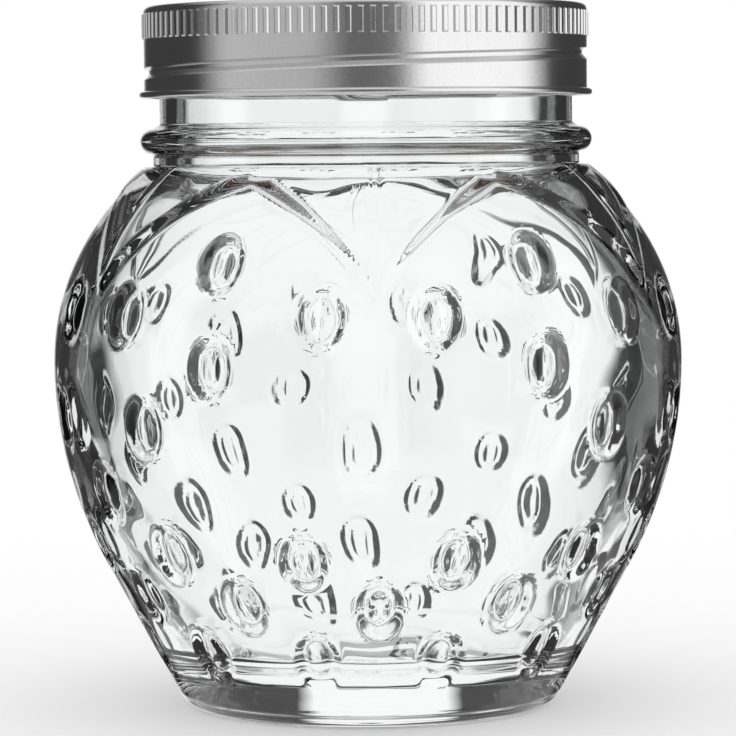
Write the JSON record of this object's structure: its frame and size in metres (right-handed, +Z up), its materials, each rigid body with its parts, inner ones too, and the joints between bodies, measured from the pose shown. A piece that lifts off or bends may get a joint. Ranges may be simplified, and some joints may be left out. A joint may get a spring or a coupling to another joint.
{
  "type": "fruit-shaped preserve jar",
  "caption": "Clear glass preserve jar shaped like a strawberry, with seed dimples, a leaf collar and a knurled two-piece metal screw lid.",
  "frame": {"origin": "centre of the foot, on the surface that the jar stands on", "axes": "+Z up along the jar's axis, -Y to the front panel, +X to the right seen from the front"},
  "size_m": [0.1034, 0.1036, 0.1153],
  "materials": {
    "glass": "clear polished",
    "band": "satin tinplate",
    "disc": "satin tinplate",
    "seal": "matt"
  },
  "bodies": {
    "jar": {"glass_jar": "glass"},
    "lid": {"lid_disc": "disc", "sealing_ring": "seal"},
    "band": {"screw_band": "band"}
  },
  "joints": [
    {"name": "lid_lift", "type": "slide", "parent": "jar", "child": "lid", "axis": [0, 0, 1], "range_m": [0, 0.0186]},
    {"name": "band_turn", "type": "hinge", "parent": "lid", "child": "band", "pos_m": [0, 0, 0.108], "axis": [0, 0, 1], "range_deg": [0, 1080]}
  ],
  "couplings": [
    {"joint": "lid_lift", "follows": "band_turn", "m_per_rad": 0.00098676}
  ]
}
